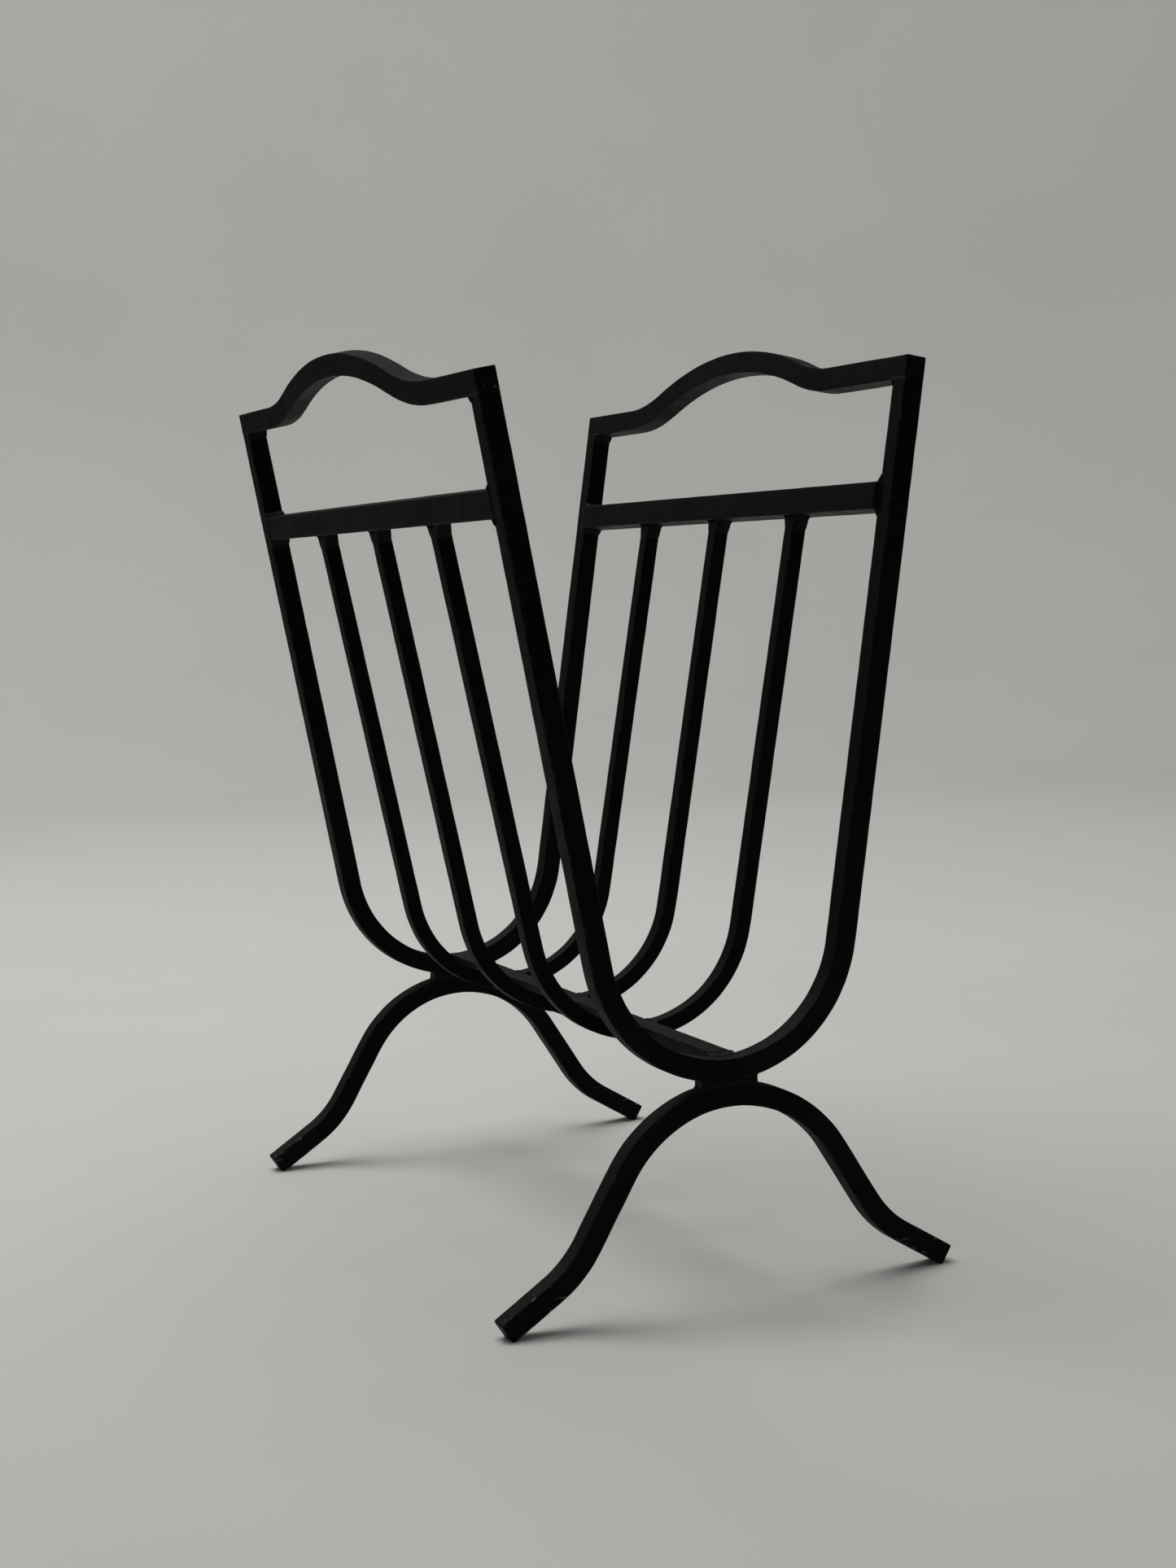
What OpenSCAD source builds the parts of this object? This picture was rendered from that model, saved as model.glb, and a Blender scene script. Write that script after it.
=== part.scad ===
// Newspaper rack: a cradle of welded square steel bar.
// X runs across the rack, Y along its length (front at -Y) and Z up.
// The origin is on the floor, under the middle of the rack.

/* [Stock] */
// Side of the square bar of the end frames, feet, handles and spine
bar = 10; // [8:0.5:12]
// Side of the lighter square bar that fills the two sides
inner_bar = 7.6; // [6:0.2:8]
// Depth of the heavier bar of the cross rails, measured up the side
rail_depth = 12.5; // [10:0.5:16]
// Thickness of the cross rails, whose outer faces are flush with the legs
rail_thick = 12; // [10:0.5:14]

/* [Cradle] */
// Length of the rack over its two end frames
rack_length = 340; // [300:5:400]
// Angle at which each side leans outwards, in degrees
side_lean = 9.65; // [7:0.05:12]
// Centre line radius of the bend at the bottom of an end frame
frame_bend_r = 61.7; // [55:0.1:70]
// Centre line radius of the bend at the bottom of an inner bar
inner_bend_r = 56; // [50:0.5:58]
// Nominal straight length of a frame leg, from its bend to its top end
leg_length = 250.9; // [230:0.1:280]
// Extra length of the left front leg, as cut by hand
left_front_extra = -1.2; // [-3:0.1:5]
// Extra length of the left rear leg
left_rear_extra = 3.6; // [-3:0.1:5]
// Extra length of the right front leg
right_front_extra = 4; // [-3:0.1:5]
// Extra length of the right rear leg
right_rear_extra = -1.2; // [-3:0.1:5]
// Distance between the centre lines of neighbouring inner bars
inner_pitch = 80; // [72:1:84]
// Height by which the spine stands above the bends of the end frames
spine_lift = 1.8; // [0:0.1:3]
// Distance from the nominal top end of a leg down to the middle of the cross rail
rail_drop = 48.7; // [40:0.1:70]
// Height of the left cross rail's front end above its rear end
left_rail_rise = 1.8; // [0:0.1:3]

/* [Handles] */
// Depth of the handle bars, measured up the side
handle_depth = 10.8; // [8:0.1:12]
// Rise of the left handle's crown above a handle on legs of the nominal length
left_handle_rise = 21.4; // [15:0.1:26]
// Rise of the right handle's crown above a handle on legs of the nominal length
right_handle_rise = 20.4; // [15:0.1:26]
// Centre line radius of the crown
crown_r = 221; // [160:1:240]
// Centre line radius of the curve where the hump leaves a flat end
handle_foot_r = 95; // [60:5:110]
// The same radius at the front of the left handle, which is bent more gently
left_front_foot_r = 140; // [60:5:160]
// Distance of the left handle's crown behind the middle of the rack
left_crown_shift = 13; // [0:1:20]
// Distance of the right handle's crown behind the middle of the rack
right_crown_shift = 0; // [0:1:20]

/* [Feet] */
// Centre line radius of the crown of a foot arch
arch_crown_r = 62; // [55:0.5:66]
// Angle that the crown turns through on each side, in degrees
arch_crown_turn = 58.5; // [52:0.5:62]
// Straight length between the crown and the outward curve
arch_shank = 33.5; // [26:0.5:38]
// Centre line radius of the outward curve above the foot
arch_kick_r = 53; // [45:0.5:60]
// Slope of the straight foot below the horizontal, in degrees
foot_slope = 32; // [26:0.5:38]
// Straight length of the foot
foot_length = 28; // [20:0.5:34]
// Depth of the worn flat at the lower corner of each foot
foot_flat = 0.8; // [0.6:0.1:1.6]

/* [Welds] */
// Leg length of the fillet welds
weld_leg = 3.2; // [2:0.2:4]
// Gap between an end frame and its foot arch, which the weld fills
neck_gap = 1.6; // [1:0.1:3]
// Width of the weld that joins an end frame to its foot arch
neck_width = 27; // [20:1:36]

/* [Hidden] */
$fn = 180;

left = -1;
right = 1;
half_bar = bar / 2;
// Distance from the middle of the rack to the middle plane of an end frame
frame_y = rack_length / 2 - half_bar;
// Distance from the middle of the rack to the inner face of an end frame
clear_y = frame_y - half_bar;

// The foot arch: heights are taken from its lower corners, which the flat trims
shank_drop = arch_shank * sin(arch_crown_turn);
crown_drop = arch_crown_r * (1 - cos(arch_crown_turn));
kick_drop = arch_kick_r * (cos(foot_slope) - cos(arch_crown_turn));
foot_drop = foot_length * sin(foot_slope);
arch_drop = crown_drop + shank_drop + kick_drop + foot_drop;
corner_drop = half_bar * cos(foot_slope);
// Height of the centre line at the top of the arch
arch_z = arch_drop + corner_drop - foot_flat;
arch_top = arch_z + half_bar;

// The end frame stands on the arch, with the neck weld between them
frame_bottom = arch_top + neck_gap;
frame_bend_z = frame_bottom + half_bar + frame_bend_r;
spine_bottom = frame_bottom + spine_lift;
spine_top = spine_bottom + bar;

// The cross rail, measured up the side from the start of the straight leg
rail_up = leg_length - rail_drop;
rail_under = rail_up - rail_depth / 2;
rail_over = rail_up + rail_depth / 2;
rail_mid = half_bar - rail_thick / 2;

// How far the left rail has risen at a distance along Y
function rail_lift(side, y) = side == left ? left_rail_rise * (clear_y - y) / (2 * clear_y) : 0;

// An inner bar's upper surface is level with the spine at the bottom, and
// its straight stretch runs to the middle of a level cross rail's underside
inner_bend_z = spine_top - inner_bar / 2 + inner_bend_r;
target_r = frame_bend_r + rail_mid;
target_x = target_r * cos(side_lean) + rail_under * sin(side_lean);
target_rise = frame_bend_z - target_r * sin(side_lean) + rail_under * cos(side_lean) - inner_bend_z;
target_far = norm([target_x, target_rise]);
inner_lean = acos(inner_bend_r / target_far) - atan2(target_rise, target_x);
inner_reach = sqrt(target_far * target_far - inner_bend_r * inner_bend_r);

// The extra length of a leg: side is left or right, and end is -1 at the front
function leg_extra(side, end) =
    side == left
        ? (end < 0 ? left_front_extra : left_rear_extra)
        : (end < 0 ? right_front_extra : right_rear_extra);

// Length by which cutters run past what they cut
spare = 20;
// Largest turn between two stations of a bend, in degrees
bend_step = 2;

// ---- Bent bar ----
// A bent bar follows a list of stations along its centre line. A station
// is [x, y, heading], with the heading in degrees from the X axis.

// The stations after a given one, along a straight or round a bend. A bend
// to the left has a positive turn
function run(from, long) =
    [[from.x + long * cos(from[2]), from.y + long * sin(from[2]), from[2]]];
function bend(from, r, turn) =
    let (steps = ceil(abs(turn) / bend_step), centre_r = sign(turn) * r)
    [for (i = [1:steps])
        let (heading = from[2] + turn * i / steps)
        [
            from.x + centre_r * (sin(heading) - sin(from[2])),
            from.y - centre_r * (cos(heading) - cos(from[2])),
            heading
        ]
    ];
function last(list) = list[len(list) - 1];

// A whole bar from its middle station and the two stretches on either side,
// both listed outwards from the middle as they lie on the right
function whole(left_stretch, middle, right_stretch) =
    concat(
        [for (i = [len(left_stretch) - 1:-1:0])
            [-left_stretch[i].x, left_stretch[i].y, -left_stretch[i][2]]],
        [middle],
        right_stretch
    );

// The points at a distance to the left of the stations
function beside(list, away) =
    [for (s = list) [s.x - away * sin(s[2]), s.y + away * cos(s[2])]];

module outline(stations, thick) {
    back = [for (i = [len(stations) - 1:-1:0]) stations[i]];
    polygon(concat(beside(stations, thick / 2), beside(back, -thick / 2)));
}

// Places a drawing of the plane of an end frame at a distance along Y
module stand_at(y, thick) {
    translate([0, y + thick / 2, 0]) rotate([90, 0, 0]) linear_extrude(height = thick) children();
}

// Places a part of a side: X is its outward normal and Z runs up the leg
module on_side(side) {
    mirror([side == left ? 1 : 0, 0, 0])
        translate([0, 0, frame_bend_z])
            rotate([0, side_lean, 0])
                translate([frame_bend_r, 0, 0]) children();
}

// Places a drawing of length and height in the plane of a side
module in_side_plane(side, thick, out = 0) {
    on_side(side)
        translate([out - thick / 2, 0, 0])
            rotate([90, 0, 90]) linear_extrude(height = thick) children();
}

// ---- Pieces ----

module end_frame(end) {
    bottom = [0, frame_bottom + half_bar, 0];
    low = bend(bottom, frame_bend_r, 90 - side_lean);
    left_half = concat(low, run(last(low), leg_length + leg_extra(left, end)));
    right_half = concat(low, run(last(low), leg_length + leg_extra(right, end)));
    stand_at(end * frame_y, bar) outline(whole(left_half, bottom, right_half), bar);
}

// An inner bar runs from the side of the spine to the underside of the rail
module inner_side_bar(side, y) {
    start = [0, spine_top - inner_bar / 2, 0];
    low = bend(start, inner_bend_r, 90 - inner_lean);
    stations = concat([start], low, run(last(low), inner_reach + spare));
    mirror([side == left ? 1 : 0, 0, 0]) stand_at(y, inner_bar) difference() {
        outline(stations, inner_bar);
        translate([half_bar - spare, spine_bottom - spare]) square([spare, 2 * spare + bar]);
        translate([target_x, target_rise + inner_bend_z]) rotate(-side_lean)
            translate([-spare, rail_lift(side, y)]) square([2 * spare, 2 * spare]);
    }
}

module cross_rail(side) {
    front = rail_lift(side, -clear_y);
    rear = rail_lift(side, clear_y);
    in_side_plane(side, rail_thick, rail_mid) polygon([
        [-clear_y, rail_under + front], [clear_y, rail_under + rear],
        [clear_y, rail_over + rear], [-clear_y, rail_over + front]
    ]);
}

// Half of a handle, outwards from its crown: the crown's arc, a reversed arc
// and a level flat that ends a given distance away, a given drop below
function half_handle(top, drop, reach, foot_r = handle_foot_r) =
    let (
        turn = acos(1 - drop / (crown_r + foot_r)),
        crown = bend(top, crown_r, -turn),
        foot = bend(last(crown), foot_r, turn)
    )
    concat(crown, foot, run(last(foot), reach - last(foot).x));

module handle_rail(side, rise, crown_shift) {
    top = [0, rise, 0];
    front_foot_r = side == left ? left_front_foot_r : handle_foot_r;
    front = half_handle(top, rise - leg_extra(side, -1), rack_length / 2 + crown_shift, front_foot_r);
    rear = half_handle(top, rise - leg_extra(side, 1), rack_length / 2 - crown_shift);
    in_side_plane(side, bar) translate([crown_shift, leg_length + handle_depth / 2])
        outline(whole(front, top, rear), handle_depth);
}

module spine() {
    translate([-half_bar, -clear_y, spine_bottom]) cube([bar, 2 * clear_y, bar]);
}

module foot_arch(y) {
    top = [0, arch_z, 0];
    crown = bend(top, arch_crown_r, -arch_crown_turn);
    shank = run(last(crown), arch_shank);
    kick = bend(last(shank), arch_kick_r, arch_crown_turn - foot_slope);
    half = concat(crown, shank, kick, run(last(kick), foot_length));
    stand_at(y, bar) difference() {
        outline(whole(half, top, half), bar);
        translate([-rack_length / 2, -spare]) square([rack_length, spare]);
    }
}

// ---- Welds ----

// The weld fills the wedges between the two round backs, bar and arch
module neck_weld(y) {
    depth = bar - 1;
    stand_at(y, depth) difference() {
        translate([-neck_width / 2, arch_top - half_bar]) square([neck_width, bar + neck_gap]);
        translate([0, frame_bend_z]) circle(r = frame_bend_r + half_bar);
        translate([0, arch_z - arch_crown_r]) circle(r = arch_crown_r + half_bar);
    }
}

// A fillet of triangular section in the corner at the origin. It lies
// against the X and Y planes on the sides that the two signs give
module fillet(x_sign, y_sign, leg) {
    polygon([[0, 0], [x_sign * leg, 0], [0, y_sign * leg]]);
}

// Fillets under the flat ends of the handles, inside the legs
module handle_weld_set() {
    for (side = [left, right], end = [-1, 1])
        in_side_plane(side, bar - 1)
            translate([end * clear_y, leg_length + leg_extra(side, end)]) fillet(-end, -1, weld_leg);
}

// Fillets above and below both ends of the cross rails
module cross_rail_weld_set() {
    for (side = [left, right], end = [-1, 1])
        in_side_plane(side, bar - 1) {
            lift = rail_lift(side, end * clear_y);
            translate([end * clear_y, rail_over + lift]) fillet(-end, 1, weld_leg);
            translate([end * clear_y, rail_under + lift]) fillet(-end, -1, weld_leg);
        }
}

// Fillets on both sides of each inner bar, under the cross rails
module bar_top_weld_set() {
    for (side = [left, right], place = [-1, 0, 1], face = [-1, 1])
        in_side_plane(side, inner_bar - 1, rail_mid)
            translate([
                place * inner_pitch + face * inner_bar / 2,
                rail_under + rail_lift(side, place * inner_pitch)
            ]) fillet(face, -1, weld_leg);
}

// Upright fillets where the inner bars meet the sides of the spine
module bar_foot_weld_set() {
    for (side = [left, right], place = [-1, 0, 1], face = [-1, 1])
        translate([side * half_bar, place * inner_pitch + face * inner_bar / 2, spine_top - inner_bar + 1])
            linear_extrude(height = inner_bar - 2) fillet(side, face, weld_leg);
}

// Upright fillets where the spine meets the end frames
module spine_end_weld_set() {
    for (side = [left, right], end = [-1, 1])
        translate([side * half_bar, end * clear_y, spine_bottom + 0.5])
            linear_extrude(height = bar - spine_lift - 1) fillet(side, -end, weld_leg);
}

// ---- Named sub-parts ----

module front_end_frame() { color("#1d1e21") end_frame(-1); }
module rear_end_frame() { color("#1d1e21") end_frame(1); }
module left_bar_front() { color("#25262a") inner_side_bar(left, -inner_pitch); }
module left_bar_middle() { color("#25262a") inner_side_bar(left, 0); }
module left_bar_rear() { color("#25262a") inner_side_bar(left, inner_pitch); }
module right_bar_front() { color("#25262a") inner_side_bar(right, -inner_pitch); }
module right_bar_middle() { color("#25262a") inner_side_bar(right, 0); }
module right_bar_rear() { color("#25262a") inner_side_bar(right, inner_pitch); }
module left_cross_rail() { color("#2a2b2f") cross_rail(left); }
module right_cross_rail() { color("#2a2b2f") cross_rail(right); }
module left_handle_rail() { color("#222327") handle_rail(left, left_handle_rise, left_crown_shift); }
module right_handle_rail() { color("#222327") handle_rail(right, right_handle_rise, right_crown_shift); }
module spine_bar() { color("#2a2b2f") spine(); }
module front_foot_arch() { color("#1a1b1e") foot_arch(-frame_y); }
module rear_foot_arch() { color("#1a1b1e") foot_arch(frame_y); }
module front_neck_weld() { color("#303136") neck_weld(-frame_y); }
module rear_neck_weld() { color("#303136") neck_weld(frame_y); }
module handle_welds() { color("#303136") handle_weld_set(); }
module cross_rail_welds() { color("#303136") cross_rail_weld_set(); }
module bar_top_welds() { color("#303136") bar_top_weld_set(); }
module bar_foot_welds() { color("#303136") bar_foot_weld_set(); }
module spine_end_welds() { color("#303136") spine_end_weld_set(); }

front_end_frame();
rear_end_frame();
left_bar_front();
left_bar_middle();
left_bar_rear();
right_bar_front();
right_bar_middle();
right_bar_rear();
left_cross_rail();
right_cross_rail();
left_handle_rail();
right_handle_rail();
spine_bar();
front_foot_arch();
rear_foot_arch();
front_neck_weld();
rear_neck_weld();
handle_welds();
cross_rail_welds();
bar_top_welds();
bar_foot_welds();
spine_end_welds();
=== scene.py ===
"""Newspaper rack: black-painted square steel bar, welded, on a pale studio floor."""

import math
import random

import bmesh
import bpy
import numpy as np
from mathutils import Matrix, Vector, noise


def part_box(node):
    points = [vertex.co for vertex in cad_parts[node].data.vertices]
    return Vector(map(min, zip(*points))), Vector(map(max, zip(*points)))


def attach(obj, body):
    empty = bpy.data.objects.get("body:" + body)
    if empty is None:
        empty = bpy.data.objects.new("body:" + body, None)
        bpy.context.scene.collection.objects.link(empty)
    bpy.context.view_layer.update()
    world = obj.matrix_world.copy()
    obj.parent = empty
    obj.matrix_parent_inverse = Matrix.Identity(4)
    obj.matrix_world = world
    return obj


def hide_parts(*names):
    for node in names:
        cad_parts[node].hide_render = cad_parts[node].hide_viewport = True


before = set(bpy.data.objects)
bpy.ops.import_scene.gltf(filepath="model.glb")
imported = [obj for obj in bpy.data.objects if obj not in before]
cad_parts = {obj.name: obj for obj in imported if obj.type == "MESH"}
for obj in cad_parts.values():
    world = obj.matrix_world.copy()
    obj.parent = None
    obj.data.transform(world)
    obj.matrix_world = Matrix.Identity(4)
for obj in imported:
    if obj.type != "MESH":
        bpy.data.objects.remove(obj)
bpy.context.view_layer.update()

MM = 0.001

# ---------------------------------------------------------------- sizes, in millimetres
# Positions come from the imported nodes. The bends repeat the sizes of the solids, whose bars are
# drawn along the same lines.


def box_mm(node):
    lo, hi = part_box(node)
    return [c / MM for c in lo], [c / MM for c in hi]


frame_lo, frame_hi = box_mm("front_end_frame")
spine_lo, spine_hi = box_mm("spine_bar")
bar_lo, bar_hi = box_mm("right_bar_middle")
front_bar_lo, front_bar_hi = box_mm("right_bar_front")
arch_top_corner = box_mm("front_foot_arch")[1]
neck_lo, neck_hi = box_mm("front_neck_weld")

BAR = frame_hi[1] - frame_lo[1]
HALF = BAR / 2
INNER = bar_hi[1] - bar_lo[1]
LENGTH = -2 * frame_lo[1]
FRAME_Y = LENGTH / 2 - HALF
CLEAR_Y = FRAME_Y - HALF
PITCH = -(front_bar_lo[1] + front_bar_hi[1]) / 2
SPINE_TOP = spine_hi[2]
SPINE_BOTTOM = spine_lo[2]
ARCH_TOP = arch_top_corner[2]
NECK_WIDTH = neck_hi[0] - neck_lo[0]
HANDLE_FOOT_Z = frame_hi[2] - HALF
# The knocks on the feet reach this high
FOOT_WEAR_TOP = 27.0
# How far a bar runs into the bar that it butts against, so that no gap shows
RAIL_SUNK = 0.3
INNER_SUNK = 0.4
# How far the legs stop short of the handles, so that the two faces don't coincide
LEG_SHORT = 0.15

LEAN = math.radians(9.65)
FRAME_BEND = 61.7
INNER_BEND = 56.0
LEG = 250.9
RAIL_DROP = 48.7
LEFT_RAIL_RISE = 1.8
RAIL_DEPTH = 12.5
RAIL_THICK = 12.0
# How much longer than nominal each leg is: left or right, front (-1) or rear (1)
LEG_EXTRA = {(-1, -1): -1.2, (-1, 1): 3.6, (1, -1): 4.0, (1, 1): -1.2}
HANDLE_RISE = {-1: 21.4, 1: 20.4}
CROWN = 221.0
# Radius of the bend at a hump's foot, for each side and end
HANDLE_FOOT = {(-1, -1): 140.0, (-1, 1): 95.0, (1, -1): 95.0, (1, 1): 95.0}
HANDLE_DEPTH = 10.8
CROWN_SHIFT = {-1: 13.0, 1: 0.0}
ARCH_CROWN = 62.0
ARCH_TURN = math.radians(58.5)
SHANK = 33.5
KICK = 53.0
FOOT_SLOPE = math.radians(32.0)
FOOT = 28.0

FRAME_BOTTOM = frame_lo[2]
BEND_Z = FRAME_BOTTOM + HALF + FRAME_BEND
RAIL_UP = LEG - RAIL_DROP
RAIL_UNDER = RAIL_UP - RAIL_DEPTH / 2
RAIL_OVER = RAIL_UP + RAIL_DEPTH / 2
RAIL_MID = HALF - RAIL_THICK / 2
INNER_Z = SPINE_TOP - INNER / 2 + INNER_BEND

target_r = FRAME_BEND + RAIL_MID
target_x = target_r * math.cos(LEAN) + RAIL_UNDER * math.sin(LEAN)
target_rise = BEND_Z - target_r * math.sin(LEAN) + RAIL_UNDER * math.cos(LEAN) - INNER_Z
target_far = math.hypot(target_x, target_rise)
INNER_LEAN = math.acos(INNER_BEND / target_far) - math.atan2(target_rise, target_x)
INNER_REACH = math.sqrt(target_far**2 - INNER_BEND**2)

# ---------------------------------------------------------------- centre lines
# A line is a list of stations [u, v, heading, bend], in millimetres and radians. bend is the
# signed curvature, so that the outside of a bend can be drawn thinner.


def run(start, long, step=2.5):
    count = max(1, round(long / step))
    u, v, h = start[:3]
    return [[u + long * i / count * math.cos(h), v + long * i / count * math.sin(h), h, 0.0]
            for i in range(1, count + 1)]


def bend(start, r, turn, step=1.8):
    count = max(2, round(abs(turn) * r / step))
    u, v, h = start[:3]
    side = r if turn > 0 else -r
    out = []
    for i in range(1, count + 1):
        a = h + turn * i / count
        out.append([u + side * (math.sin(a) - math.sin(h)), v - side * (math.cos(a) - math.cos(h)),
                    a, 1 / side])
    return out


def whole(left, middle, right):
    back = [[-u, v, -h, k] for u, v, h, k in reversed(left)]
    return back + [middle] + right


# ---------------------------------------------------------------- where a drawing stands


def across(y):
    """A drawing of the plane of an end frame, at a distance along the rack."""
    return lambda u, v, w: (u, y + w, v)


def across_side(side, y):
    """The same, turned over for the left side."""
    return lambda u, v, w: (side * u, y + w, v)


def side_point(side, out, along, up):
    """A point of a side: outwards, along the rack, and up the leg from its bend."""
    x = (FRAME_BEND + out) * math.cos(LEAN) + up * math.sin(LEAN)
    z = BEND_Z - (FRAME_BEND + out) * math.sin(LEAN) + up * math.cos(LEAN)
    return side * x, along, z


def in_side(side, out=0.0):
    """A drawing of length and height in the plane of a side, at a distance outwards."""
    return lambda u, v, w: side_point(side, w + out, u, v)


def rail_lift(side, y):
    """How far the left rail, which isn't quite level, has risen at a distance along the rack."""
    return LEFT_RAIL_RISE * (CLEAR_Y - y) / (2 * CLEAR_Y) if side < 0 else 0.0


# ---------------------------------------------------------------- bar meshes

# How far the wear of an edge reaches over the face beside it, in millimetres
EDGE_FADE = 1.8
# Half the share by which the outside of a bend is drawn thinner than its inside
THINNED = 0.018
# The lengths of the waves in a bar's faces and edges, and the most that a wave may swell out
LONG_WAVE = 23.0
SHORT_WAVE = 6.5
EDGE_WAVE = 9.0
MOST_SWELL = 0.02


def profile(half_n, half_w, corner, per_side=6, per_corner=4):
    """The outline of a square bar with rolled edges: points, and how much each is on an edge."""
    points, edge = [], []
    centres = [(half_n - corner, half_w - corner), (-half_n + corner, half_w - corner),
               (-half_n + corner, -half_w + corner), (half_n - corner, -half_w + corner)]
    for q, (cn, cw) in enumerate(centres):
        for i in range(per_corner + 1):
            a = math.pi / 2 * (q + i / per_corner)
            points.append((cn + corner * math.cos(a), cw + corner * math.sin(a)))
            edge.append(1.0)
        nn, nw = centres[(q + 1) % 4]
        a = math.pi / 2 * (q + 1)
        x0, y0 = cn + corner * math.cos(a), cw + corner * math.sin(a)
        x1, y1 = nn + corner * math.cos(a), nw + corner * math.sin(a)
        for i in range(1, per_side):
            t = i / per_side
            points.append((x0 + (x1 - x0) * t, y0 + (y1 - y0) * t))
            far = min(t, 1 - t) * math.hypot(x1 - x0, y1 - y0)
            edge.append(max(0.0, 1 - far / EDGE_FADE) * 0.6)
    return points, edge


def rough(p, seed, size, depth):
    """A smooth unevenness at a place, with waves of a size."""
    return depth * noise.noise(Vector((p[0] / size + seed, p[1] / size - seed, p[2] / size + 2 * seed)))


def with_ends(line, soft):
    """Adds stations close to both ends, and says how far each is drawn in to round the end."""
    total = [0.0]
    for a, b in zip(line, line[1:]):
        total.append(total[-1] + math.hypot(b[0] - a[0], b[1] - a[1]))
    out = []
    for station, s in zip(line, total):
        sharp_first = soft[0] == 0 and s == 0
        sharp_last = soft[1] == 0 and s == total[-1]
        if soft[0] < s < total[-1] - soft[1] or sharp_first or sharp_last:
            out.append((station, 0.0))

    def rounded(station, radius, way, a):
        u, v, h, k = station
        away = way * radius * (1 - math.cos(a))
        return [u + away * math.cos(h), v + away * math.sin(h), h, k], radius * (1 - math.sin(a))

    turns = [i / 4 * math.pi / 2 for i in range(5)]
    if soft[0]:
        out = [rounded(line[0], soft[0], 1, a) for a in turns] + out
    if soft[1]:
        out += [rounded(line[-1], soft[1], -1, a) for a in reversed(turns)]
    return out


def bar_mesh(name, line, place, half_n, half_w, seed, corner=0.45, soft=(0.5, 0.5), floor=False,
             wave=0.06):
    """A square bar along a line: corner rounds its edges, soft its two ends, and wave is its unevenness."""
    stations = with_ends(line, soft)
    points, edge = profile(half_n, half_w, corner)
    count = len(points)
    verts, weights, faces = [], [], []

    def ring(u, v, h, k, inset, shrink):
        sin_h, cos_h = math.sin(h), math.cos(h)
        for (n, w), e in zip(points, edge):
            # The outside of a bend is drawn thinner.
            w_here = w * (1 - THINNED * (1 - n * (1 if k > 0 else -1) / half_n)) if k else w
            n_in = n * (half_n - inset) / half_n * shrink
            w_in = w_here * (half_w - inset) / half_w * shrink
            p = place(u - n_in * sin_h, v + n_in * cos_h, w_in)
            long = math.hypot(n, w)
            pull = rough(p, seed, LONG_WAVE, wave) + rough(p, seed + 3, SHORT_WAVE, wave * 0.55)
            if e >= 1.0:
                pull += rough(p, seed + 7, EDGE_WAVE, wave * 1.5) - MOST_SWELL
            pull = min(pull, MOST_SWELL)
            n_in += n / long * pull
            w_in += w / long * pull
            x, y, z = place(u - n_in * sin_h, v + n_in * cos_h, w_in)
            if floor:
                z = max(z, 0.0)
            verts.append((x * MM, y * MM, z * MM))
            weights.append(e)

    for (u, v, h, k), inset in stations:
        ring(u, v, h, k, inset, 1.0)
    rings = len(stations)
    for i in range(rings - 1):
        for j in range(count):
            a, b = i * count + j, i * count + (j + 1) % count
            faces.append((a, b, b + count, a + count))
    for end, (station, inset) in ((0, stations[0]), (1, stations[-1])):
        outer = 0 if end == 0 else (rings - 1) * count
        for shrink in (0.72, 0.4):
            start = len(verts)
            ring(*station, inset, shrink)
            for j in range(count):
                a, b = outer + j, outer + (j + 1) % count
                c, d = start + (j + 1) % count, start + j
                faces.append((a, d, c, b) if end == 0 else (a, b, c, d))
            outer = start
        middle = len(verts)
        u, v, h, k = station
        x, y, z = place(u, v, 0.0)
        verts.append((x * MM, y * MM, (max(z, 0.0) if floor else z) * MM))
        weights.append(0.0)
        for j in range(count):
            a, b = outer + j, outer + (j + 1) % count
            faces.append((a, middle, b) if end == 0 else (a, b, middle))
    return make_object(name, verts, faces, weights)


def make_object(name, verts, faces, weights):
    """A smooth closed piece, with how much each point is on an edge kept for the paint."""
    mesh = bpy.data.meshes.new(name)
    mesh.from_pydata(verts, [], faces)
    layer = mesh.attributes.new("edge", "FLOAT", "POINT")
    layer.data.foreach_set("value", weights)
    mesh.update()
    tool = bmesh.new()
    tool.from_mesh(mesh)
    bmesh.ops.recalc_face_normals(tool, faces=tool.faces)
    tool.to_mesh(mesh)
    tool.free()
    mesh.polygons.foreach_set("use_smooth", [True] * len(mesh.polygons))
    piece = bpy.data.objects.new(name, mesh)
    bpy.context.scene.collection.objects.link(piece)
    return piece


# ---------------------------------------------------------------- weld meshes
# A weld is a list of lumps (middle, radii, turn) in millimetres, melted into one skin.

# Size of the grid's cells, and how far apart two lumps still flow together
CELL = 0.3
MELT = 0.32
# A weld's place on the scale of edge wear, from 0 to 1: too low for its paint to be rubbed
WELD_WEAR = 0.35


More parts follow.
